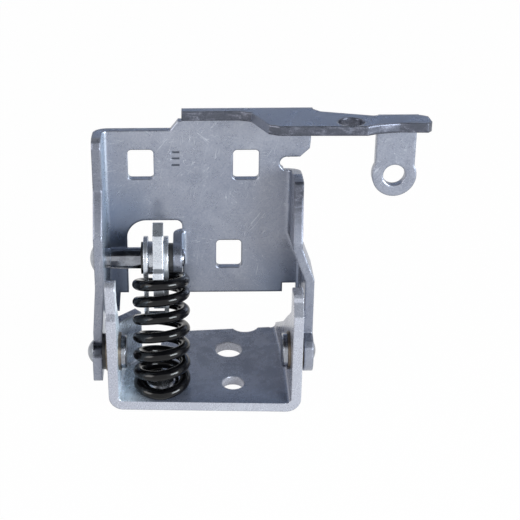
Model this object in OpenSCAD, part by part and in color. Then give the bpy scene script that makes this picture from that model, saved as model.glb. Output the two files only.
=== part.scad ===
/* [Sheet metal] */
// Thickness of the base leaf's sheet
base_sheet = 4; // [3:0.1:5]
// Thickness of the door leaf's sheet
door_sheet = 3.7; // [3:0.1:4.5]
// Inside radius of every bend
bend_r = 2; // [1:0.1:2.5]

/* [Base leaf] */
// Width over the two ears
ear_span = 78; // [74:0.5:84]
// Floor ahead of the hinge axis, left side
front_left = 13; // [11:0.2:15]
// Floor ahead of the hinge axis, right side
front_right = 15.2; // [13:0.2:17]
// Floor behind the hinge axis, at its right corner
floor_rear = 43.6; // [38:0.2:48]
// How much shorter the floor's left corner is
rear_skew = 3.4; // [0:0.2:5]
// Diameter of the rear floor hole
floor_hole_d = 11.6; // [8:0.1:13]
// Diameter of the front floor hole
front_hole_d = 9.3; // [6:0.1:11]
// Height of the hinge axis above the underside
axis_h = 20; // [18:0.2:24]
// Height of the ears' front edges
ear_h = 42.5; // [38:0.5:46]
// Height of the stop horn above the left ear's front edge
horn_h = 14.4; // [10:0.2:15]
// Height of the slanted guard wall behind the spring
guard_h = 27.4; // [20:0.2:29]

/* [Door leaf] */
// Lean of the door leaf's plate away from square to the floor, degrees
lean = 4; // [0:0.5:8]
// Front face of the plate behind the hinge axis
plate_back = 20; // [18:0.2:24]
// Bottom edge of the plate above the hinge axis
plate_low = 17; // [15:0.2:20]
// Top edge of the plate's plain left part above the axis
plate_high = 88; // [80:0.5:92]
// Top face of the arm above the axis
arm_top = 97.6; // [95:0.2:104]
// Width of the square holes
square_w = 10.4; // [8:0.1:12]
// Height of the square holes
square_h = 12.6; // [10:0.1:13.5]
// Gap between the left ear and the left flange
gap_left = 2.5; // [2.2:0.1:3.5]
// Gap between the right ear and the right flange
gap_right = 1.3; // [1.2:0.1:2.4]
// Diameter of the hole in the hanging tab
tab_hole_d = 8.8; // [6:0.1:10]
// Diameter of the hole in the arm
arm_hole_d = 10.2; // [7:0.1:12]

/* [Pins and bushings] */
// Diameter of the hinge pins
pin_d = 8; // [6:0.1:9]
// Wall of the bushings
bush_wall = 1.4; // [1:0.1:1.8]
// Diameter of the bushing flanges
bush_flange_d = 15.8; // [13:0.1:17]
// Thickness of the bushing flanges
bush_flange_t = 1; // [0.7:0.1:1]
// Diameter of the pins' inner heads
pin_head_d = 14; // [12:0.1:15]
// Thickness of the pins' inner heads
pin_head_t = 2.2; // [1.5:0.1:3]
// Radial clearance of a pin that turns
run_gap = 0.05; // [0.02:0.01:0.1]
// Axial clearance between parts that turn against each other
side_gap = 0.1; // [0.05:0.05:0.15]

/* [Check strut] */
// Cross pin behind the hinge axis, along the leaf
cross_b = 10.4; // [9.6:0.2:11]
// Cross pin above the hinge axis, along the leaf
cross_v = 37.3; // [36.6:0.2:38.4]
// Diameter of the cross pin's shaft
cross_d = 8.8; // [7:0.1:9]
// Diameter of the cross pin's reduced end
cross_end_d = 6.2; // [5:0.1:6.6]
// Diameter of the roller
roller_d = 13.5; // [12:0.1:13.9]
// Lean of the strut from the vertical, degrees
strut_lean = 16; // [13:0.5:18]
// Thickness of the yoke's sheet
yoke_t = 1.8; // [1.4:0.1:2]
// Thickness of the cam plate
cam_t = 4.2; // [3:0.1:4.6]

/* [Spring] */
// Outside diameter of the spring
spring_od = 23.6; // [23.4:0.1:24]
// Diameter of the spring wire
wire_d = 4.4; // [3.8:0.1:4.5]
// Number of turns, counting the flat ends
turns = 7; // [5:0.5:7.5]
// Turns at each end that lie flat
flat_turns = 0.5; // [0.25:0.25:0.75]

/* [Hidden] */
$fn = 64;
tiny = 0.01;
big = 300;
seat_gap = 0.3;
fit_gap = 0.02;

// Places along the hinge axis
ear_out = ear_span / 2;
ear_in = ear_out - base_sheet;
flange_in_left = -ear_out - gap_left;
flange_in_right = ear_out + gap_right;
flange_out_left = flange_in_left - door_sheet;
flange_out_right = flange_in_right + door_sheet;

// Places along the cross pin, all at the left ear's side of the leaf
spring_x = 21.5 - ear_out;
yoke_left = spring_x - 6.8;
yoke_inner_gap = 6.4;
yoke_right = yoke_left + 2 * yoke_t + yoke_inner_gap;
cam_right = yoke_right - yoke_t - 0.1;
lug_left = spring_x + 5.1;
washer_left_t = 0.9;

// Place and frame of the door leaf: x along the axis, y behind it, z up the plate
module on_leaf() {
    translate([0, 0, axis_h])
        rotate([-lean, 0, 0])
            children();
}

// Cross pin's place in the part's own frame
cross_y = cross_b * cos(lean) + cross_v * sin(lean);
cross_z = axis_h + cross_v * cos(lean) - cross_b * sin(lean);

// Frame of the strut: origin on the cross pin, z along the strut, y away from the viewer
module on_strut() {
    translate([0, cross_y, cross_z])
        rotate([-strut_lean, 0, 0])
            children();
}

// Turns a y-z outline into a slab across x
module across(x0, x1) {
    translate([x0, 0, 0])
        rotate([90, 0, 90])
            linear_extrude(x1 - x0)
                children();
}

// Turns an x-z outline into a slab across y
module facing(y0, y1) {
    translate([0, y1, 0])
        rotate([90, 0, 0])
            linear_extrude(y1 - y0)
                children();
}

// Rod along x
module rod(x0, x1, d) {
    translate([x0, 0, 0])
        rotate([0, 90, 0])
            cylinder(h = x1 - x0, d = d);
}

// Solid of revolution round the x axis from a list of [x, radius] points
module turned(profile) {
    rotate([0, 90, 0])
        rotate_extrude()
            polygon([for (p = profile) [p[1], p[0]]]);
}

// Points of a shallow dome's arc that stands on x0 with diameter d and is h high
function dome_arc(x0, d, h) = let (r = (d * d / 4 + h * h) / (2 * h), a = asin(d / 2 / r))
    [for (k = [8 : -1 : 0]) [x0 + h - r + r * cos(a * k / 8), r * sin(a * k / 8)]];

// Round corner of a bend: a quarter ring in the first quadrant
module bend_corner(sheet) {
    intersection() {
        difference() {
            circle(r = bend_r + sheet);
            circle(r = bend_r);
        }
        square(bend_r + sheet);
    }
}

// Bend section: leg along +y at x 0, then a round corner and a stub along +x
module bend_section(sheet, leg_start, back, stub) {
    outer = bend_r + sheet;
    translate([0, leg_start])
        square([sheet, back - outer - leg_start]);
    translate([outer, back - outer])
        mirror([1, 0])
            bend_corner(sheet);
    translate([outer, back - sheet])
        square([stub, sheet]);
}

// Keeps what lies above a slanted plane through z at x = px that is tilted by a
module above(px, z, a) {
    intersection() {
        children();
        translate([px, 0, z])
            rotate([0, a, 0])
                translate([-big / 2, -big / 2, 0])
                    cube([big, big, big / 2]);
    }
}

// Keeps what lies below such a plane
module below(px, z, a) {
    intersection() {
        children();
        translate([px, 0, z])
            rotate([0, a, 0])
                translate([-big / 2, -big / 2, -big / 2])
                    cube([big, big, big / 2]);
    }
}

// Tilt of a path's step from the vertical; the ends go on as their last step
function step_tilt(path, i) = let (k = min(max(i, 0), len(path) - 2), d = path[k + 1] - path[k])
    atan2(d[0], d[1]);

// Section in x-y swept up a path of [x, z] points, mitred where the path bends
module swept_up(path) {
    spare = 3;
    lap = 0.03;
    for (i = [0 : len(path) - 2]) {
        tilt = step_tilt(path, i);
        from = path[i];
        to = path[i + 1];
        below(to[0], to[1] + lap, (tilt + step_tilt(path, i + 1)) / 2)
            above(from[0], from[1] - lap, (tilt + step_tilt(path, i - 1)) / 2)
                translate([from[0], 0, from[1]])
                    rotate([0, tilt, 0])
                        translate([0, 0, -spare])
                            linear_extrude(norm(to - from) + 2 * spare)
                                children();
    }
}

// Rectangle with rounded corners, centred
module round_rect(w, h, r) {
    square([w - 2 * r, h], center = true);
    square([w, h - 2 * r], center = true);
    for (sx = [-1, 1], sy = [-1, 1])
        translate([sx * (w / 2 - r), sy * (h / 2 - r)])
            circle(r = r);
}

// Base leaf: floor, two ears and the guard wall, one stamped sheet
wall_top = ear_h + max(horn_h, 10) + 2;
corner = bend_r + base_sheet;
stub = 1;
turn_start = 8.4;
guard_turn = 47;
guard_run = 9.6;
right_turn = 4.8;
floor_hole = [10.8, 25.3];
front_hole = [11.9, -0.2];
rear_notch_x = 18.5;
rear_notch_r = 6.4;
rear_notch_deep = 3.2;

// Wall section in x-z: ear leg up, corner and a floor stub along +x
module wall_section() {
    translate([0, corner])
        square([base_sheet, wall_top - corner]);
    translate([corner, corner])
        rotate(180)
            bend_corner(base_sheet);
    translate([corner, 0])
        square([stub, base_sheet]);
}

// Wall with its outer face at x 0: straight past the hinge pin, then turned in by an angle
module turned_wall(front, turn, run) {
    turn_r = 9;
    steps = ceil(turn / 16);
    path = concat(
        [[0, -front]],
        [for (k = [0 : steps]) [turn_r * (1 - cos(turn * k / steps)), turn_start + turn_r * sin(turn * k / steps)]],
        [[turn_r * (1 - cos(turn)) + run * sin(turn), turn_start + turn_r * sin(turn) + run * cos(turn)]]
    );
    rotate([-90, 0, 0])
        swept_up(path)
            mirror([0, 1])
                wall_section();
}

// Left ear from the side: ledge, stop horn with a round top, dip down to the guard wall
module left_ear_outline() {
    horn_r = 3.6;
    horn_z = ear_h + horn_h - horn_r;
    horn_front = -front_left + 2.4;
    horn_y = horn_front + horn_r;
    polygon(concat(
        [[-front_left, 0], [-front_left, ear_h - 0.6], [horn_front, ear_h + 2]],
        [for (a = [180 : -15 : 0]) [horn_y + horn_r * cos(a), horn_z + horn_r * sin(a)]],
        [[horn_y + horn_r, ear_h + 3], [1.6, ear_h - 4.6], [turn_start - 1, guard_h + 1],
         [turn_start + 1, guard_h], [floor_rear, guard_h], [floor_rear, 0]]
    ));
}

// Right ear from the side: ledge, low horn, then three slopes down to the rear corner
module right_ear_outline() {
    front = -front_right;
    polygon([
        [front, 0], [front + 1, ear_h + 1.4], [front + 5.6, ear_h + 6], [front + 5.6, ear_h + 7.4],
        [front + 6.8, ear_h + 8.6], [front + 12.6, ear_h + 8.6], [front + 14.2, ear_h + 7],
        [front + 14.2, ear_h - 3.6], [9.6, guard_h + 3.6], [22.6, axis_h], [floor_rear - 1.5, base_sheet + 3.4],
        [floor_rear - 0.5, base_sheet + 2], [floor_rear, 0]
    ]);
}

module left_wall() {
    intersection() {
        translate([-ear_out, 0, 0])
            turned_wall(front_left, guard_turn, guard_run);
        across(-big, big)
            left_ear_outline();
    }
}

module right_wall() {
    intersection() {
        translate([ear_out, 0, 0])
            mirror([1, 0, 0])
                turned_wall(front_right, right_turn, floor_rear);
        across(-big, big)
            right_ear_outline();
    }
}

module floor_plate() {
    left_in = corner + stub / 2 - ear_out;
    right_in = ear_out - corner - stub / 2;
    guard_in = turn_start + guard_run / 2;
    linear_extrude(base_sheet)
        difference() {
            polygon([
                [left_in, -front_left], [right_in, -front_right], [right_in, turn_start],
                [right_in - (floor_rear - turn_start) * tan(right_turn), floor_rear],
                [-16, floor_rear - rear_skew], [-18.6, 32],
                [left_in + guard_in, guard_in + turn_start], [left_in, turn_start]
            ]);
            translate(floor_hole)
                circle(d = floor_hole_d);
            translate(front_hole)
                circle(d = front_hole_d);
            translate([rear_notch_x, floor_rear - rear_skew / 4 - rear_notch_deep + rear_notch_r])
                circle(r = rear_notch_r);
            translate([spring_x, seat_y])
                circle(d = seat_shank_d + 2 * fit_gap);
        }
}

bush_d = pin_d + 2 * run_gap + 2 * bush_wall;

module base_leaf() {
    color("lightsteelblue")
        difference() {
            union() {
                floor_plate();
                left_wall();
                right_wall();
            }
            translate([0, 0, axis_h])
                rod(-ear_out - 1, ear_out + 1, bush_d + 2 * fit_gap);
        }
}

// Door leaf: plate, two flanges, top bend with the arm, hanging tab and the pin lug
door_outer = bend_r + door_sheet;
plate_rear = plate_back + door_sheet;
// Joggles of the flanges: length times a direction whose sine and cosine are short decimals
left_joggle_low = 9;
left_joggle = 20 * [0.07584, 0.99712];
left_upper = flange_out_left + left_joggle[0];
right_joggle_low = 32.2;
right_joggle = 14.375 * [0.352, 0.936];
right_upper = flange_out_right - right_joggle[0];
plate_corner = right_upper + 3.76;
arm_front = -4.4;
tab_x = plate_corner + 32.3;
tab_v = 72.2;
tab_r = 8.7;
tab_front = 10.4;
step_x = -8.5;
relief_left = ear_out - 6.2;
relief_right = ear_out - 0.5;
relief_top = 21;

module left_flange_outline() {
    lobe = 8;
    polygon([
        [12, plate_high], [9.6, plate_high - 1], [8.5, plate_high - 3.5], [8.5, 67], [-0.5, 50.5], [-0.5, 3.4], [-lobe + 1.2, 2.2], [-lobe, 1],
        [-lobe, -8.8], [-lobe + 1, -9.8], [5, -9.8], [9, -6.6], [plate_rear - 6, 5],
        [plate_rear - 1.8, plate_low - 6], [plate_rear, plate_low - 1], [plate_rear, plate_high]
    ]);
}

module right_flange_outline() {
    polygon([
        [3.6, 72.4], [2.6, 71.4], [2.6, 66], [-1, 48], [-1, 8.4], [-6, 7.4], [-8, 5], [-8.5, 0],
        [0, 0], [plate_rear, plate_low], [plate_rear, 70.6], [12, 72.4]
    ]);
    polygon([[0, 0], [5, -6.9], [plate_rear - 6, 5.4], [plate_rear - 2.4, 9.4], [plate_rear, 14], [10, 30]]);
    circle(r = 8.5);
}

module left_flange() {
    intersection() {
        swept_up([
            [flange_out_left, -15], [flange_out_left, left_joggle_low],
            [left_upper, left_joggle_low + left_joggle[1]], [left_upper, 90]
        ])
            bend_section(door_sheet, -12, plate_rear, 4);
        across(-big, big)
            left_flange_outline();
    }
}

module right_flange() {
    difference() {
        intersection() {
            mirror([1, 0, 0])
                swept_up([
                    [-flange_out_right, -15], [-flange_out_right, right_joggle_low],
                    [-right_upper, right_joggle_low + right_joggle[1]], [-right_upper, 75]
                ])
                    bend_section(door_sheet, -12, plate_rear, 4);
            across(-big, big)
                right_flange_outline();
        }
        relief_outline_cut();
    }
}

// Relief under the plate's right end, the right ear's rear slope passes through it
module relief_outline_cut() {
    facing(12, plate_rear + 1)
        translate([relief_left, 0])
            square([relief_right - relief_left, relief_top]);
}

// Flat part of the plate, seen from the front
module plate_outline() {
    left = flange_out_left + 8.8;
    right = flange_out_right - 8.4;
    neck = plate_corner - 11.1;
    difference() {
        polygon([
            [left, plate_low], [relief_left, plate_low], [relief_left, relief_top],
            [right, relief_top], [right, right_joggle_low],
            [neck, right_joggle_low + right_joggle[1]], [neck, 70],
            [plate_corner - 8.3, 76.8], [plate_corner - 4.1, 76.8],
            [plate_corner - 0.3, 80.4], [plate_corner, 84], [plate_corner, arm_top - door_outer],
            [step_x - 1.5, arm_top - door_outer],
            [step_x - 4.6, plate_high], [left, plate_high]
        ]);
        translate([neck + 1.8, 74])
            circle(r = 2.8);
        notch_outline();
        for (p = [[-25.1, 73.8], [17.1, 73.5], [10.4, 34.4]])
            translate(p)
                round_rect(square_w, square_h, 1.6);
    }
}

// Notch that lets the strut and the guard wall through
module notch_outline() {
    notch_left = flange_out_left + 13.8;
    notch_right = lug_left + door_sheet;
    notch_top = 49.7;
    r_left = 8;
    r_right = 2.6;
    translate([notch_left, 0])
        square([notch_right - notch_left, notch_top - r_left]);
    translate([notch_left + r_left, notch_top - r_left])
        square([notch_right - notch_left - r_left - r_right, r_left]);
    translate([notch_right - r_right, notch_top - r_left])
        square([r_right, r_left - r_right]);
    translate([notch_left + r_left, notch_top - r_left])
        circle(r = r_left);
    translate([notch_right - r_right, notch_top - r_right])
        circle(r = r_right);
}

// Section of a bend from a sheet that hangs behind `rear` to the arm's flat sheet
module arm_section(rear, drop, reach) {
    translate([rear - door_outer, arm_top - door_outer])
        bend_corner(door_sheet);
    translate([rear - door_sheet, arm_top - door_outer - drop])
        square([door_sheet, drop]);
    translate([rear - door_outer - reach, arm_top - door_sheet])
        square([reach, door_sheet]);
}

// Top bend and arm, cut to the arm's plan outline
module top_flange() {
    intersection() {
        across(step_x, big / 2)
            arm_section(plate_rear, 2, 40);
        translate([0, 0, plate_high])
            linear_extrude(30)
                arm_plan();
    }
}

// Arm seen from above: x along the axis, y behind it
module arm_plan() {
    narrow_front = plate_back - 5.6;
    difference() {
        polygon([
            [step_x, plate_rear], [step_x, narrow_front], [14, narrow_front],
            [18.6, narrow_front - 1.8], [24.4, arm_front + 2.2], [28.6, arm_front],
            [tab_x - 13.5, arm_front - 0.6], [tab_x - 9, arm_front + 1.6], [tab_x - 1, arm_front + 3.1],
            [tab_x + 9.6, arm_front + 2.4], [tab_x + 11.2, arm_front + 4.4], [tab_x + 10.8, 6.6],
            [tab_x + 8.4, tab_front + door_sheet - door_outer],
            [tab_x - 8.6, tab_front + door_sheet - door_outer],
            [tab_x - 9.8, 8], [plate_corner + 2.7, 13.7], [plate_corner, 17], [plate_corner, plate_rear]
        ]);
        translate([plate_corner + 13, 0.5])
            circle(d = arm_hole_d);
    }
}

module tab() {
    width = 2 * tab_r - 2;
    left = tab_x - tab_r + 1;
    across(left, left + width)
        arm_section(tab_front + door_sheet, 2, 2);
    facing(tab_front, tab_front + door_sheet)
        difference() {
            union() {
                translate([left, tab_v])
                    square([width, arm_top - door_outer - tab_v]);
                translate([tab_x, tab_v])
                    circle(r = tab_r);
            }
            translate([tab_x, tab_v])
                circle(d = tab_hole_d);
        }
}

// Lug bent forward from the notch's right edge, it carries the cross pin's end
module lug() {
    intersection() {
        translate([lug_left, 0, 24])
            linear_extrude(24)
                bend_section(door_sheet, 0, plate_rear, 4);
        across(lug_left - 1, lug_left + 12)
            union() {
                translate([cross_b, cross_v])
                    circle(r = 5.9);
                polygon([
                    [cross_b, cross_v - 5.9], [plate_back - 1, cross_v - 7.4],
                    [plate_rear + 1, cross_v - 7.4], [plate_rear + 1, cross_v + 7.4],
                    [plate_back, cross_v + 7.4], [cross_b - 3, cross_v + 5.1]
                ]);
            }
    }
}

module door_leaf() {
    color("lightsteelblue")
        on_leaf()
            difference() {
                union() {
                    facing(plate_back, plate_rear)
                        plate_outline();
                    left_flange();
                    right_flange();
                    top_flange();
                    tab();
                    lug();
                }
                rod(flange_out_left - 1, flange_in_left + 4, pin_d + 2 * fit_gap);
                rod(flange_in_right - 4, flange_out_right + 1, pin_d + 2 * fit_gap);
                translate([0, cross_b, cross_v]) {
                    rod(flange_out_left - 1, left_upper + door_sheet + 4, cross_neck_d + 2 * fit_gap);
                    rod(lug_left - 1, lug_left + door_sheet + 1, cross_end_d + 2 * fit_gap);
                }
                for (v = [79, 76.4, 73.6])
                    translate([-12.7, plate_back - 1, v - 0.35])
                        cube([3.2, 1.25, 0.7]);
            }
}

// Hinge pins: inner head, shank through bushing and flange, riveted outer end
head_in = ear_in - bush_flange_t - side_gap;

module hinge_pin(flange_in, dome_d, dome_h) {
    flange_out = flange_in + door_sheet;
    edge = 0.5;
    turned(concat(
        [[head_in - pin_head_t, 0], [head_in - pin_head_t, pin_head_d / 2 - edge],
         [head_in - pin_head_t + edge, pin_head_d / 2], [head_in, pin_head_d / 2],
         [head_in, pin_d / 2], [flange_out, pin_d / 2]],
        dome_arc(flange_out, dome_d, dome_h)
    ));
}

module pin_left() {
    color("silver")
        translate([0, 0, axis_h])
            mirror([1, 0, 0])
                hinge_pin(-flange_in_left, 10, 2.6);
}

module pin_right() {
    color("silver")
        translate([0, 0, axis_h])
            hinge_pin(flange_in_right, 9.4, 1.6);
}

// Flanged half bushing with its flange face at x 0 and its sleeve along +x
module bushing() {
    difference() {
        union() {
            rod(-bush_flange_t, 0, bush_flange_d);
            rod(-tiny, base_sheet / 2 - fit_gap, bush_d);
        }
        rod(-bush_flange_t - 1, base_sheet, pin_d + 2 * run_gap);
    }
}

module bushing_left_inner() {
    color("peru")
        translate([-ear_in, 0, axis_h])
            mirror([1, 0, 0])
                bushing();
}

module bushing_left_outer() {
    color("peru")
        translate([-ear_out, 0, axis_h])
            bushing();
}

module bushing_right_inner() {
    color("peru")
        translate([ear_in, 0, axis_h])
            bushing();
}

module bushing_right_outer() {
    color("peru")
        translate([ear_out, 0, axis_h])
            mirror([1, 0, 0])
                bushing();
}

// Thrust washer that takes up the wider gap on the left side
module thrust_washer() {
    outer = -ear_out - bush_flange_t - side_gap;
    color("dimgray")
        translate([0, 0, axis_h])
            difference() {
                rod(flange_in_left + side_gap, outer, 14.8);
                rod(flange_in_left - 1, outer + 1, pin_d + 2 * run_gap);
            }
}

// Cross pin: riveted head, knurled neck, shaft, reduced end riveted over the lug
cross_neck_d = 8;

module cross_pin() {
    inside = -left_upper - door_sheet;
    shoulder = -lug_left + fit_gap;
    lug_right = -lug_left - door_sheet;
    neck_end = inside - 2.4;
    color("silver")
        on_leaf()
            translate([0, cross_b, cross_v])
                mirror([1, 0, 0])
                    turned(concat(
                        [[lug_right - 1.2, 0], [lug_right - 1.2, 2.6], [lug_right - 0.6, 3.5],
                         [lug_right, 3.7], [lug_right, cross_end_d / 2], [shoulder, cross_end_d / 2],
                         [shoulder, cross_d / 2], [neck_end, cross_d / 2],
                         [neck_end, cross_neck_d / 2], [-left_upper, cross_neck_d / 2]],
                        dome_arc(-left_upper, 12, 2.4)
                    ));
}

module cross_washer(x0, x1, d) {
    color("black")
        on_leaf()
            translate([0, cross_b, cross_v])
                difference() {
                    rod(x0, x1, d);
                    rod(x0 - 1, x1 + 1, cross_d + 2 * fit_gap);
                }
}

module cross_washer_left() {
    cross_washer(yoke_left - side_gap - washer_left_t, yoke_left - side_gap, 13);
}

module cross_washer_right() {
    cross_washer(yoke_right + side_gap, lug_left - side_gap, 12);
}

// Roller between the yoke's ears
module roller() {
    color("gainsboro")
        on_leaf()
            translate([0, cross_b, cross_v])
                difference() {
                    rod(yoke_left + yoke_t + side_gap, cam_right, roller_d);
                    rod(yoke_left, yoke_right, cross_d + 2 * run_gap);
                }
}

// Yoke: two ears round the cross pin, legs down inside the spring, web at their ends
leg_end = -24.5;
ear_round_r = 8.9;
leg_back = 1.4;
leg_front = -2.6;

module yoke_outline() {
    difference() {
        union() {
            circle(r = ear_round_r);
            polygon([
                [-ear_round_r, 0], [-6.2, -6.8], [leg_front, -6.8], [leg_front, leg_end],
                [leg_back, leg_end], [leg_back, -6.8], [6.2, -6.8], [ear_round_r, 0]
            ]);
        }
        translate([-20, -40])
            square([20 + leg_front, 33]);
        translate([leg_back, -40])
            square([20, 33]);
        circle(d = cross_d + 2 * run_gap);
    }
}

module yoke() {
    color("silver")
        on_strut() {
            across(yoke_left, yoke_left + yoke_t)
                yoke_outline();
            across(yoke_right - yoke_t, yoke_right)
                yoke_outline();
            translate([yoke_left, leg_front, leg_end])
                cube([yoke_right - yoke_left, leg_back - leg_front, yoke_t]);
        }
}

// Cam plate: saddle under the roller, foot on the spring, tongue down between the legs
module cam_outline() {
    foot_z = spring_top + seat_gap;
    reach = spring_od / 2 - 0.8;
    saddle_r = roller_d / 2 + seat_gap;
    difference() {
        polygon([
            [-reach, foot_z], [-reach, foot_z + 2.6], [-reach + 1.6, foot_z + 4.2],
            [-reach + 1.6, 10.6], [-5.4, 15.2], [-3.6, 15.2], [-3.6, 11],
            [-saddle_r + 0.4, 5], [0, -2], [reach - 2.4, -1.4], [reach, foot_z + 2.6],
            [reach, foot_z], [4.8, foot_z], [4.8, -18], [2.6, -20.6], [-2.6, -20.6],
            [-4.8, -18], [-4.8, foot_z]
        ]);
        circle(r = saddle_r);
    }
}

module cam_plate() {
    color("lightsteelblue")
        on_strut()
            across(cam_right - cam_t, cam_right)
                cam_outline();
}

// Check spring: wire swept round a curved centre line, foot on the floor, head under the cam plate
seat_y = -2;
spring_top = -7;
coil_r = (spring_od - wire_d) / 2;
wire_gap = 0.05;
foot_p = [seat_y, base_sheet + wire_d / 2 + wire_gap];
head_p = [cross_y, cross_z] + (spring_top - wire_d / 2) * [sin(strut_lean), cos(strut_lean)];
handle = norm(head_p - foot_p) / 3;
line_p = [foot_p, foot_p + [0, handle], head_p - handle * [sin(strut_lean), cos(strut_lean)], head_p];
rings_per_turn = 18;
wire_sides = 10;

function centre(t) = pow(1 - t, 3) * line_p[0] + 3 * t * pow(1 - t, 2) * line_p[1]
    + 3 * t * t * (1 - t) * line_p[2] + pow(t, 3) * line_p[3];
function centre_way(t) = let (d = centre(min(t + 0.01, 1)) - centre(max(t - 0.01, 0))) d / norm(d);
function rise(u) = min(max((u - flat_turns) / (turns - 2 * flat_turns), 0), 1);
// Point of the wire's middle at u turns; it starts at the back and climbs to the right in front
function wire(u) = let (t = rise(u), c = centre(t), w = centre_way(t), a = 90 + 360 * u)
    [spring_x + coil_r * cos(a), c[0] + coil_r * sin(a) * w[1], c[1] - coil_r * sin(a) * w[0]];
function unit(v) = v / norm(v);
function wire_ring(u) = let (
        along = unit(wire(u + 0.004) - wire(u - 0.004)),
        t = rise(u),
        c = centre(t),
        out = unit(wire(u) - [spring_x, c[0], c[1]]),
        side = unit(cross(along, out)),
        r = wire_d / 2)
    [for (k = [0 : wire_sides - 1])
        wire(u) + r * cos(360 * k / wire_sides) * unit(cross(side, along))
            + r * sin(360 * k / wire_sides) * side];

module check_spring() {
    count = ceil(turns * rings_per_turn);
    rings = [for (i = [0 : count]) wire_ring(turns * i / count)];
    points = [for (ring = rings) for (p = ring) p];
    last = count * wire_sides;
    sides = [for (i = [0 : count - 1]) for (k = [0 : wire_sides - 1])
        let (n = (k + 1) % wire_sides, a = i * wire_sides)
            [a + k, a + n, a + wire_sides + n, a + wire_sides + k]];
    caps = [[for (k = [wire_sides - 1 : -1 : 0]) k], [for (k = [0 : wire_sides - 1]) last + k]];
    color("black")
        polyhedron(points = points, faces = concat(sides, caps), convexity = 20);
}

// Spring seat: domed button inside the lowest turn, its shank is riveted in the floor
seat_d = 2 * coil_r - wire_d - 1;
seat_shank_d = 6;

module spring_seat() {
    button_h = 3.2;
    dome_h = 3.2;
    top = base_sheet + button_h;
    color("dimgray")
        translate([spring_x, seat_y, 0])
            rotate_extrude()
                polygon(concat(
                    [[0, 0.3], [seat_shank_d / 2, 0.3], [seat_shank_d / 2, base_sheet],
                     [seat_d / 2, base_sheet]],
                    [for (p = dome_arc(top, seat_d, dome_h)) [p[1], p[0]]]
                ));
}

base_leaf();
door_leaf();
pin_left();
pin_right();
bushing_left_inner();
bushing_left_outer();
bushing_right_inner();
bushing_right_outer();
thrust_washer();
cross_pin();
cross_washer_left();
cross_washer_right();
roller();
yoke();
cam_plate();
check_spring();
spring_seat();
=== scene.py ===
"""Looks for the car door hinge: materials, a smooth check spring, light and camera."""
import math

import bpy
from mathutils import Matrix, Vector


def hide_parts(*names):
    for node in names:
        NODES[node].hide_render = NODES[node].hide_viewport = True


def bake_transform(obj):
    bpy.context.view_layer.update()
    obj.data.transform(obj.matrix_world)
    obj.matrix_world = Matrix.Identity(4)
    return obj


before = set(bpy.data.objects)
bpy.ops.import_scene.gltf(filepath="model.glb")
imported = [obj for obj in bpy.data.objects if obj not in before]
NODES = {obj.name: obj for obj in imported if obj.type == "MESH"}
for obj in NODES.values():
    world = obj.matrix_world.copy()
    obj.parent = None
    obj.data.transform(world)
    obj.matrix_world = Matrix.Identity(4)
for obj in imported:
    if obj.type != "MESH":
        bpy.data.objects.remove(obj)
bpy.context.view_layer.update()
MM = 0.001

# Sizes of the solids that the looks and the spring need, as in part.scad
AXIS_H = 20.0                 # height of the hinge axis, mm
LEAF_LEAN = math.radians(4)   # lean of the door leaf
FLOOR_TOP = 4.0               # top of the base leaf's floor, mm
EDGE_DEPTH = 17.2 * MM        # in the leaf's frame: cut edges lie before this depth, the plate behind


# ---------------------------------------------------------------- node helpers
def new_material(name):
    """An empty node material with its output, a Principled shader and object coordinates."""
    mat = bpy.data.materials.new(name)
    mat.use_nodes = True
    tree = mat.node_tree
    tree.nodes.clear()
    out = tree.nodes.new("ShaderNodeOutputMaterial")
    shader = tree.nodes.new("ShaderNodeBsdfPrincipled")
    tree.links.new(shader.outputs[0], out.inputs["Surface"])
    coords = tree.nodes.new("ShaderNodeTexCoord")
    return mat, tree, shader, coords.outputs["Object"]


def noise(tree, where, scale, detail=3.0, rough=0.55, distortion=0.0):
    """Noise texture's value; scale is in waves per metre."""
    node = tree.nodes.new("ShaderNodeTexNoise")
    node.inputs["Scale"].default_value = scale
    node.inputs["Detail"].default_value = detail
    node.inputs["Roughness"].default_value = rough
    node.inputs["Distortion"].default_value = distortion
    tree.links.new(where, node.inputs["Vector"])
    return node.outputs["Fac"]


def stretched(tree, where, scale, turn=(0, 0, 0)):
    """Coordinates turned and then scaled unevenly, for streaks and scratches."""
    node = tree.nodes.new("ShaderNodeMapping")
    node.vector_type = "TEXTURE"  # turns first and divides by the scale
    node.inputs["Scale"].default_value = [1 / s for s in scale]
    node.inputs["Rotation"].default_value = [math.radians(a) for a in turn]
    tree.links.new(where, node.inputs["Vector"])
    return node.outputs["Vector"]


def spread(tree, value, low, high, to_low=0.0, to_high=1.0):
    """Maps a value from low..high to to_low..to_high, clamped."""
    node = tree.nodes.new("ShaderNodeMapRange")
    node.inputs["From Min"].default_value = low
    node.inputs["From Max"].default_value = high
    node.inputs["To Min"].default_value = to_low
    node.inputs["To Max"].default_value = to_high
    tree.links.new(value, node.inputs["Value"])
    return node.outputs["Result"]


def combine(tree, kind, a, b):
    """Math node on two values or numbers."""
    node = tree.nodes.new("ShaderNodeMath")
    node.operation = kind
    for socket, value in zip(node.inputs, (a, b)):
        if isinstance(value, (int, float)):
            socket.default_value = value
        else:
            tree.links.new(value, socket)
    return node.outputs[0]


def times(tree, product, *factors):
    """All the values multiplied."""
    for factor in factors:
        product = combine(tree, "MULTIPLY", product, factor)
    return product


def weighted(tree, *pairs):
    """Sum of (value, weight) pairs."""
    total, *others = [times(tree, value, weight) for value, weight in pairs]
    for other in others:
        total = combine(tree, "ADD", total, other)
    return total


def away(tree, value, middle):
    """How far a value is from the middle, either way."""
    return combine(tree, "ABSOLUTE", combine(tree, "SUBTRACT", value, middle), 0.0)


def split(tree, vector):
    """The x, y and z of a vector."""
    node = tree.nodes.new("ShaderNodeSeparateXYZ")
    tree.links.new(vector, node.inputs[0])
    return tuple(node.outputs)


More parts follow.
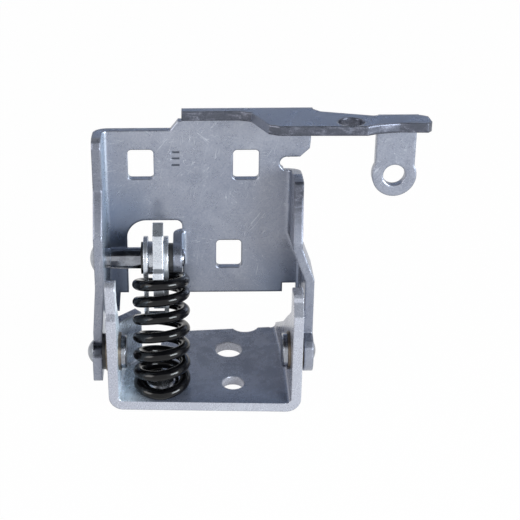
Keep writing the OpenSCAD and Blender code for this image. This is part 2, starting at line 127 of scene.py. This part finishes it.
def facing(tree, kind="Normal"):
    """The x, y and z of the surface's normal; kind True Normal is that of the flat face."""
    return split(tree, tree.nodes.new("ShaderNodeNewGeometry").outputs[kind])


def ramp(tree, value, stops):
    """Colour ramp through (position, colour) stops."""
    node = tree.nodes.new("ShaderNodeValToRGB")
    elements = node.color_ramp.elements
    while len(elements) < len(stops):
        elements.new(0.5)
    for element, (place, colour) in zip(elements, stops):
        element.position = place
        element.color = (*colour, 1)
    tree.links.new(value, node.inputs["Fac"])
    return node.outputs["Color"]


def mixed(tree, factor, a, b):
    """Colour a mixed toward colour b."""
    node = tree.nodes.new("ShaderNodeMix")
    node.data_type = "RGBA"
    tree.links.new(factor, node.inputs[0])
    for socket, value in ((node.inputs[6], a), (node.inputs[7], b)):
        if isinstance(value, tuple):
            socket.default_value = (*value, 1)
        else:
            tree.links.new(value, socket)
    return node.outputs[2]


def bumped(tree, shader, height, strength, distance, edge=0.0):
    """Bump from a height value, over edges rounded by the given radius."""
    node = tree.nodes.new("ShaderNodeBump")
    node.inputs["Strength"].default_value = strength
    node.inputs["Distance"].default_value = distance
    tree.links.new(height, node.inputs["Height"])
    if edge:
        bevel = tree.nodes.new("ShaderNodeBevel")
        bevel.samples = 8
        bevel.inputs["Radius"].default_value = edge
        tree.links.new(bevel.outputs["Normal"], node.inputs["Normal"])
    tree.links.new(node.outputs["Normal"], shader.inputs["Normal"])


# ---------------------------------------------------------------- marks on the sheet, painted light and painted shade
SCRATCH_TONE = (0.72, 0.75, 0.80)
# painted light: pale blue for the inner faces and the floor beside the left ear
PAINTED_LIGHT_BLUE = (0.80, 0.90, 1.0)
# painted shade: the up-facing floor is made darker blue towards the front
FLOOR_PAINTED_SHADE = (0.115, 0.15, 0.235)
# painted shade: blue darkening for the plate's front face
PAINTED_SHADE_BLUE = (0.11, 0.15, 0.23)
STAMP_TONE = (0.05, 0.06, 0.08)
# painted shade: dark colours for the front-facing cut edges
EDGE_PAINTED_SHADE = [(0.40, (0.045, 0.05, 0.065)), (0.53, (0.075, 0.08, 0.105)), (0.66, (0.20, 0.21, 0.26))]
DASH_X, DASH_HALF = -11.1 * MM, 1.6 * MM           # middle and half length of the plate's dashes
DASH_ROWS, DASH_HALF_H = (79.0, 76.4, 73.6), 0.4   # their heights and half height, mm
DASH_BEFORE = 20.8 * MM                            # only the plate's front face carries them


def scratches(tree, where, scale, turn, width):
    """Short thin lines in one direction where a second noise lets them through; returns 0..1."""
    streak = noise(tree, stretched(tree, where, (scale, scale, scale * 0.07), turn), 1.0, 1.0, 0.5, 0.2)
    line = spread(tree, away(tree, streak, 0.5), 0.0, width, 1.0, 0.0)
    patch = noise(tree, stretched(tree, where, (90, 90, 90), [t + 40 for t in turn]), 1.0, 2.0)
    return times(tree, line, spread(tree, patch, 0.52, 0.66))


def leaf_frame(tree, where):
    """x along the axis, y behind it and z up the plate, in the door leaf's own frame."""
    node = tree.nodes.new("ShaderNodeVectorRotate")
    node.rotation_type = "X_AXIS"
    node.inputs["Center"].default_value = (0, 0, AXIS_H * MM)
    node.inputs["Angle"].default_value = LEAF_LEAN
    tree.links.new(where, node.inputs["Vector"])
    shift = tree.nodes.new("ShaderNodeVectorMath")
    shift.operation = "SUBTRACT"
    shift.inputs[1].default_value = (0, 0, AXIS_H * MM)
    tree.links.new(node.outputs[0], shift.inputs[0])
    return split(tree, shift.outputs[0])


def dash_marks(tree, where):
    """1 inside the three stamped dashes of the plate."""
    x, y, z = leaf_frame(tree, where)
    wide = combine(tree, "LESS_THAN", away(tree, x, DASH_X), DASH_HALF)
    front = combine(tree, "LESS_THAN", y, DASH_BEFORE)
    rows = [combine(tree, "LESS_THAN", away(tree, z, row * MM), DASH_HALF_H * MM) for row in DASH_ROWS]
    row = combine(tree, "MAXIMUM", rows[0], combine(tree, "MAXIMUM", rows[1], rows[2]))
    return times(tree, wide, front, row)


def painted_edge_shade(tree, where):
    """Painted shade, as a dark reflection, on the door leaf's front cut edges: most on the arm, least low on
    the flanges.
    """
    x, y, z = leaf_frame(tree, where)
    forward = spread(tree, facing(tree, "True Normal")[1], -0.35, -0.6)
    before = combine(tree, "LESS_THAN", y, EDGE_DEPTH)
    tab = times(tree, combine(tree, "GREATER_THAN", x, 0.064), combine(tree, "LESS_THAN", z, 0.0925))
    height = spread(tree, z, 0.050, 0.064, 0.05, 0.9)
    left_flange = spread(tree, x, -0.035, -0.032, 0.4, 1.0)
    return times(tree, forward, before, combine(tree, "SUBTRACT", 1.0, tab), height, left_flange)


def plate_painted_shade(tree, where):
    """How much painted shade, in blue, the plate's front face gets: left of the notch and at the lower right.
    """
    x, y, z = leaf_frame(tree, where)
    beside = times(tree, spread(tree, x, -0.015, -0.028), spread(tree, z, 0.072, 0.054))
    below = times(tree, spread(tree, x, 0.012, 0.030), spread(tree, z, 0.040, 0.022))
    front = times(tree, spread(tree, facing(tree)[1], -0.5, -0.9), combine(tree, "GREATER_THAN", y, EDGE_DEPTH))
    return times(tree, front, combine(tree, "MAXIMUM", beside, below), 0.6)


def leaf_painted_shade_and_dashes(tree, where, colour):
    """The door leaf's painted blue shade, painted shade on the cut edges and stamped dashes over its colour."""
    # painted shade: the plate made darker blue left of the notch and at the lower right
    colour = mixed(tree, plate_painted_shade(tree, where), colour, PAINTED_SHADE_BLUE)
    edge_streaks = noise(tree, stretched(tree, where, (190, 520, 520)), 1.0, 4.0, 0.6, 0.8)
    grit = noise(tree, where, 1700, 2.0, 0.7, 0.3)
    # painted shade: the front cut edges are darkened, streaked with noise
    edge_shade_colour = ramp(tree, weighted(tree, (edge_streaks, 0.65), (grit, 0.35)), EDGE_PAINTED_SHADE)
    colour = mixed(tree, painted_edge_shade(tree, where), colour, edge_shade_colour)
    return mixed(tree, times(tree, dash_marks(tree, where), 0.85), colour, STAMP_TONE)


def floor_painted_light_and_shade(tree, where, colour):
    """The base leaf's floor: painted shade, darker most in front, and painted light beside the left ear."""
    x, y, z = split(tree, where)
    level = times(tree, spread(tree, facing(tree)[2], 0.7, 0.95),
                  combine(tree, "LESS_THAN", z, (FLOOR_TOP + 0.5) * MM))
    # painted shade: the floor made darker towards the front
    colour = mixed(tree, times(tree, level, spread(tree, y, -0.014, 0.036, 0.75, 0.1)), colour, FLOOR_PAINTED_SHADE)
    # painted light: the floor beside the left ear made pale
    return mixed(tree, times(tree, level, spread(tree, x, -0.020, -0.031, 0.0, 0.9)), colour, PAINTED_LIGHT_BLUE)


def painted_light_on_inner_faces(tree, where):
    """0..1, how far a face left of the middle turns to +X: painted light on these inner faces."""
    left = combine(tree, "LESS_THAN", split(tree, where)[0], 0.0)
    return times(tree, spread(tree, facing(tree)[0], 0.1, 0.9), left)


# ---------------------------------------------------------------- materials
def zinc(name, dark, light, rough, grain=1.0, metallic=0.8, edge=0.0008, inner=None, marks=None):
    """Zinc plated sheet: cloudy blue-grey, fine speckle, thin scratches.

    inner is the share and colour of painted light on faces that turn to +X left of the middle, and marks a
    function that lays one leaf's painted light, painted shade and marks over the colour.
    """
    mat, tree, shader, where = new_material(name)
    clouds = noise(tree, where, 30, 5.0, 0.6, 0.6)
    speckle = noise(tree, where, 1500, 2.0, 0.7)
    blotch = noise(tree, where, 160, 4.0, 0.65)
    lines = scratches(tree, where, 620, (0, 38, 10), 0.010)
    for scale, turn in ((540, (0, -52, 5)), (700, (5, 80, 0)), (480, (-5, 12, 0))):
        lines = combine(tree, "MAXIMUM", lines, scratches(tree, where, scale, turn, 0.008))

    tone = weighted(tree, (clouds, 0.45), (blotch, 0.15), (speckle, 0.35))
    middle = [(a + b) / 2 for a, b in zip(dark, light)]
    colour = ramp(tree, tone, [(0.36, dark), (0.5, middle), (0.64, light)])
    colour = mixed(tree, times(tree, lines, 0.45), colour, SCRATCH_TONE)
    # painted light: faces left of the middle that turn to +X are made paler
    if inner:
        share, pale = inner
        colour = mixed(tree, times(tree, painted_light_on_inner_faces(tree, where), share), colour, pale)
    if marks:
        colour = marks(tree, where, colour)
    tree.links.new(colour, shader.inputs["Base Color"])

    shader.inputs["Metallic"].default_value = metallic
    stains = spread(tree, weighted(tree, (blotch, 0.6), (speckle, 0.4)), 0.35, 0.65, *rough)
    tree.links.new(combine(tree, "ADD", stains, times(tree, lines, 0.08)), shader.inputs["Roughness"])
    height = weighted(tree, (speckle, 0.5 * grain), (blotch, 0.5), (lines, -0.05))
    bumped(tree, shader, height, 0.22, 0.00005, edge)
    return mat


def plain_metal(name, dark, light, rough):
    """Turned metal: fine lathe marks and light stains."""
    mat, tree, shader, where = new_material(name)
    stains = noise(tree, where, 260, 4.0, 0.6)
    rings = noise(tree, stretched(tree, where, (9000, 300, 300)), 1.0, 1.0)
    tree.links.new(ramp(tree, stains, [(0.35, dark), (0.65, light)]), shader.inputs["Base Color"])
    shader.inputs["Metallic"].default_value = 1.0
    tree.links.new(spread(tree, stains, 0.35, 0.65, *rough), shader.inputs["Roughness"])
    bumped(tree, shader, rings, 0.12, 0.00003, 0.0002)
    return mat


def coated(name, dark, light, rough, coat, specular=0.5):
    """Black paint or plastic over steel: slight orange peel and dust."""
    mat, tree, shader, where = new_material(name)
    dust = noise(tree, where, 420, 5.0, 0.65)
    peel = noise(tree, where, 900, 2.0, 0.5)
    tree.links.new(ramp(tree, dust, [(0.4, dark), (0.72, light)]), shader.inputs["Base Color"])
    tree.links.new(spread(tree, dust, 0.35, 0.7, *rough), shader.inputs["Roughness"])
    shader.inputs["Coat Weight"].default_value = coat
    shader.inputs["Coat Roughness"].default_value = 0.12
    shader.inputs["Specular IOR Level"].default_value = specular
    bumped(tree, shader, peel, 0.1, 0.00005)
    return mat


# inner gives painted light on the inner faces; the marks add painted shade, painted light and the stamped
# dashes
ZINC = zinc("zinc_plate", (0.205, 0.225, 0.285), (0.335, 0.35, 0.405), (0.24, 0.38), metallic=0.75,
            edge=0.0012, inner=(0.6, (0.58, 0.68, 0.80)), marks=leaf_painted_shade_and_dashes)
ZINC_BASE = zinc("zinc_base", (0.35, 0.36, 0.42), (0.47, 0.485, 0.54), (0.20, 0.34), 0.4, metallic=0.5,
                 inner=(0.95, PAINTED_LIGHT_BLUE), marks=floor_painted_light_and_shade)
STRUT = zinc("zinc_strut", (0.40, 0.43, 0.48), (0.66, 0.69, 0.74), (0.22, 0.36), 0.6)
PIN = plain_metal("pin_steel", (0.20, 0.21, 0.24), (0.36, 0.38, 0.42), (0.16, 0.28))
BRONZE = plain_metal("bushing_bronze", (0.10, 0.085, 0.07), (0.24, 0.20, 0.16), (0.35, 0.5))
BLACK = coated("washer_black", (0.008, 0.008, 0.009), (0.03, 0.03, 0.032), (0.35, 0.5), 0.1)
SPRING = coated("spring_black", (0.002, 0.002, 0.0025), (0.006, 0.006, 0.007), (0.10, 0.19), 0.0, 0.28)

LOOKS = {
    "base_leaf": ZINC_BASE, "door_leaf": ZINC, "pin_left": PIN, "pin_right": PIN, "cross_pin": PIN,
    "bushing_left_inner": BRONZE, "bushing_left_outer": BRONZE,
    "bushing_right_inner": BRONZE, "bushing_right_outer": BRONZE,
    "thrust_washer": BLACK, "cross_washer_left": BLACK, "cross_washer_right": BLACK,
    "roller": STRUT, "yoke": STRUT, "cam_plate": STRUT, "check_spring": SPRING, "spring_seat": PIN,
}
CREASE = math.radians(28)  # edges sharper than this stay sharp, the rest are shaded smooth
for node_name, look in LOOKS.items():
    node = NODES[node_name]
    node.data.materials.clear()
    node.data.materials.append(look)
    node.data.shade_smooth()
    node.modifiers.new("flat_faces", "EDGE_SPLIT").split_angle = CREASE


# ---------------------------------------------------------------- check spring
# All in millimetres, as in part.scad
TURNS, FLAT_TURNS, COIL_R, WIRE_R = 7.0, 0.5, 9.6, 2.2
SPRING_X, FOOT_Y, FOOT_GAP = -17.5, -2.0, 0.05
CROSS_PIN = (10.4, 37.3)             # the cross pin's place behind and above the hinge axis
STRUT_LEAN = math.radians(16)
SPRING_TOP = -7.0                    # top of the spring along the strut, from the cross pin
STEPS_PER_TURN, WIRE_SIDES = 64, 24


def spring_mesh():
    """The wire swept round the spring's curved centre line, as in the CAD but smooth."""
    behind, above = CROSS_PIN
    pin = Vector((0, behind * math.cos(LEAF_LEAN) + above * math.sin(LEAF_LEAN),
                  AXIS_H + above * math.cos(LEAF_LEAN) - behind * math.sin(LEAF_LEAN)))
    along = Vector((0, math.sin(STRUT_LEAN), math.cos(STRUT_LEAN)))
    foot = Vector((0, FOOT_Y, FLOOR_TOP + WIRE_R + FOOT_GAP))
    head = pin + (SPRING_TOP - WIRE_R) * along
    handle = (head - foot).length / 3
    line = [foot, foot + Vector((0, 0, handle)), head - handle * along, head]

    def centre(t):
        """Bezier curve from the spring's foot to its head."""
        s = 1 - t
        return s ** 3 * line[0] + 3 * t * s * s * line[1] + 3 * t * t * s * line[2] + t ** 3 * line[3]

    def wire(u):
        """The wire's middle after u turns, and the coil's middle beside it."""
        t = min(max((u - FLAT_TURNS) / (TURNS - 2 * FLAT_TURNS), 0), 1)
        w = (centre(min(t + 0.01, 1)) - centre(max(t - 0.01, 0))).normalized()
        a = math.radians(90 + 360 * u)
        side = Vector((0, w.z, -w.y))
        across = Vector((SPRING_X + COIL_R * math.cos(a), 0, 0))
        return centre(t) + across + COIL_R * math.sin(a) * side, centre(t)

    count = int(TURNS * STEPS_PER_TURN)
    verts, faces = [], []
    for i in range(count + 1):
        u = TURNS * i / count
        p, c = wire(u)
        ahead = (wire(min(u + 0.004, TURNS))[0] - wire(max(u - 0.004, 0))[0]).normalized()
        out = (p - c - Vector((SPRING_X, 0, 0))).normalized()
        side = ahead.cross(out).normalized()
        out = side.cross(ahead)
        for k in range(WIRE_SIDES):
            b = 2 * math.pi * k / WIRE_SIDES
            verts.append((p + WIRE_R * (math.cos(b) * out + math.sin(b) * side)) * MM)
    for here in range(0, count * WIRE_SIDES, WIRE_SIDES):
        there = here + WIRE_SIDES
        for k in range(WIRE_SIDES):
            n = (k + 1) % WIRE_SIDES
            faces.append((here + k, here + n, there + n, there + k))
    faces.append(tuple(reversed(range(WIRE_SIDES))))
    faces.append(tuple(count * WIRE_SIDES + k for k in range(WIRE_SIDES)))
    mesh = bpy.data.meshes.new("spring_coil")
    mesh.from_pydata(verts, [], faces)
    mesh.update()
    mesh.shade_smooth()
    return mesh, foot * MM, head * MM


coil_mesh, coil_foot, coil_head = spring_mesh()
coil = bpy.data.objects.new("spring_coil", coil_mesh)
bpy.context.scene.collection.objects.link(coil)
coil.data.materials.append(SPRING)
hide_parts("check_spring")
# The lowest turn stays flat on the floor, and the upper coils stay round the strut's legs
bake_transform(coil)


# ---------------------------------------------------------------- stage
def flat_piece(name, centre, size, turn=(0, 0, 0)):
    """A rectangle that faces +Z before it is turned."""
    w, d = size[0] / 2, size[1] / 2
    mesh = bpy.data.meshes.new(name)
    mesh.from_pydata([(-w, -d, 0), (w, -d, 0), (w, d, 0), (-w, d, 0)], [], [(0, 1, 2, 3)])
    piece = bpy.data.objects.new(name, mesh)
    piece.location = centre
    piece.rotation_euler = [math.radians(a) for a in turn]
    bpy.context.scene.collection.objects.link(piece)
    return piece


def seen_directly(tree):
    """1 for camera, glossy and transmission rays."""
    path = tree.nodes.new("ShaderNodeLightPath")
    both = combine(tree, "MAXIMUM", path.outputs["Is Camera Ray"], path.outputs["Is Glossy Ray"])
    return combine(tree, "MAXIMUM", both, path.outputs["Is Transmission Ray"])


floor = flat_piece("floor", (0, 0, -0.0002), (6, 6))
floor_mat = bpy.data.materials.new("floor_white")
floor_mat.use_nodes = True
tree = floor_mat.node_tree
tree.nodes.clear()
out = tree.nodes.new("ShaderNodeOutputMaterial")
diffuse = tree.nodes.new("ShaderNodeBsdfDiffuse")
diffuse.inputs["Color"].default_value = (0.9, 0.9, 0.9, 1)
glow = tree.nodes.new("ShaderNodeEmission")
glow.inputs["Strength"].default_value = 1.0
mix = tree.nodes.new("ShaderNodeMixShader")
# The small rest of plain diffuse keeps the object's shadow
tree.links.new(times(tree, seen_directly(tree), 0.985), mix.inputs["Fac"])
tree.links.new(diffuse.outputs[0], mix.inputs[1])
tree.links.new(glow.outputs[0], mix.inputs[2])
tree.links.new(mix.outputs[0], out.inputs["Surface"])
floor.data.materials.append(floor_mat)


def card(name, centre, size, turn, colour):
    """A plain studio card that the metal mirrors; the camera doesn't see it."""
    piece = flat_piece(name, centre, size, turn)
    mat = bpy.data.materials.new(name)
    mat.use_nodes = True
    shader = mat.node_tree.nodes["Principled BSDF"]
    shader.inputs["Base Color"].default_value = (*colour, 1)
    shader.inputs["Roughness"].default_value = 1.0
    shader.inputs["Specular IOR Level"].default_value = 0.0
    piece.data.materials.append(mat)
    piece.visible_camera = False
    piece.visible_shadow = False


card("card_above", (0, -0.15, 0.95), (1.7, 1.4), (0, 0, 0), (0.02, 0.022, 0.028))
card("card_behind", (0, 1.15, 0.62), (2.4, 0.95), (70, 0, 0), (0.15, 0.185, 0.255))
card("card_low", (0, 1.0, 0.40), (2.4, 0.28), (80, 0, 0), (0.62, 0.74, 1.0))

world = bpy.data.worlds.new("studio")
bpy.context.scene.world = world
world.use_nodes = True
tree = world.node_tree
tree.nodes.clear()
out = tree.nodes.new("ShaderNodeOutputWorld")
sky = tree.nodes.new("ShaderNodeBackground")
sky.inputs["Color"].default_value = (1, 1, 1, 1)
tree.links.new(spread(tree, seen_directly(tree), 0, 1, 0.4, 1.0), sky.inputs["Strength"])
tree.links.new(sky.outputs[0], out.inputs["Surface"])


def softbox(name, place, aim, size, power, colour):
    """A rectangular area lamp aimed at a point."""
    lamp = bpy.data.lights.new(name, "AREA")
    lamp.shape = "RECTANGLE"
    lamp.size, lamp.size_y = size
    lamp.energy = power
    lamp.color = colour
    piece = bpy.data.objects.new(name, lamp)
    piece.location = place
    piece.rotation_euler = (Vector(aim) - Vector(place)).to_track_quat("-Z", "Y").to_euler()
    bpy.context.scene.collection.objects.link(piece)


softbox("key_right", (0.68, -0.60, 0.24), (0, 0, 0.05), (0.5, 0.4), 13, (0.88, 0.95, 1.0))
softbox("fill_left", (-0.75, -0.45, 0.35), (0, 0, 0.05), (0.5, 0.5), 4, (1.0, 0.98, 0.97))

# ---------------------------------------------------------------- camera
# The camera fitted to the photograph; lengths of the picture are in its pixels
PICTURE, FOCAL, CENTRE_X = 520, 1213.4, 194.47
SENSOR = 36  # mm
PITCH, ROLL = math.radians(28.76), math.radians(-0.40)
PLACE = Vector((-3.80, -418.64, 292.18)) * MM

forward = Vector((0, math.cos(PITCH), -math.sin(PITCH)))
right = Vector((1, 0, 0))
up = right.cross(forward)
turned_right = math.cos(ROLL) * right + math.sin(ROLL) * up
turned_up = -math.sin(ROLL) * right + math.cos(ROLL) * up
camera = bpy.data.cameras.new("camera")
camera.sensor_width = SENSOR
camera.lens = FOCAL / PICTURE * SENSOR
camera.shift_x = (PICTURE / 2 - CENTRE_X) / PICTURE
camera.clip_start = 0.01
eye = bpy.data.objects.new("camera", camera)
turn = Matrix((turned_right, turned_up, -forward)).transposed().to_4x4()
eye.matrix_world = Matrix.Translation(PLACE) @ turn
bpy.context.scene.collection.objects.link(eye)
bpy.context.scene.camera = eye
bpy.context.scene.view_settings.view_transform = "Standard"
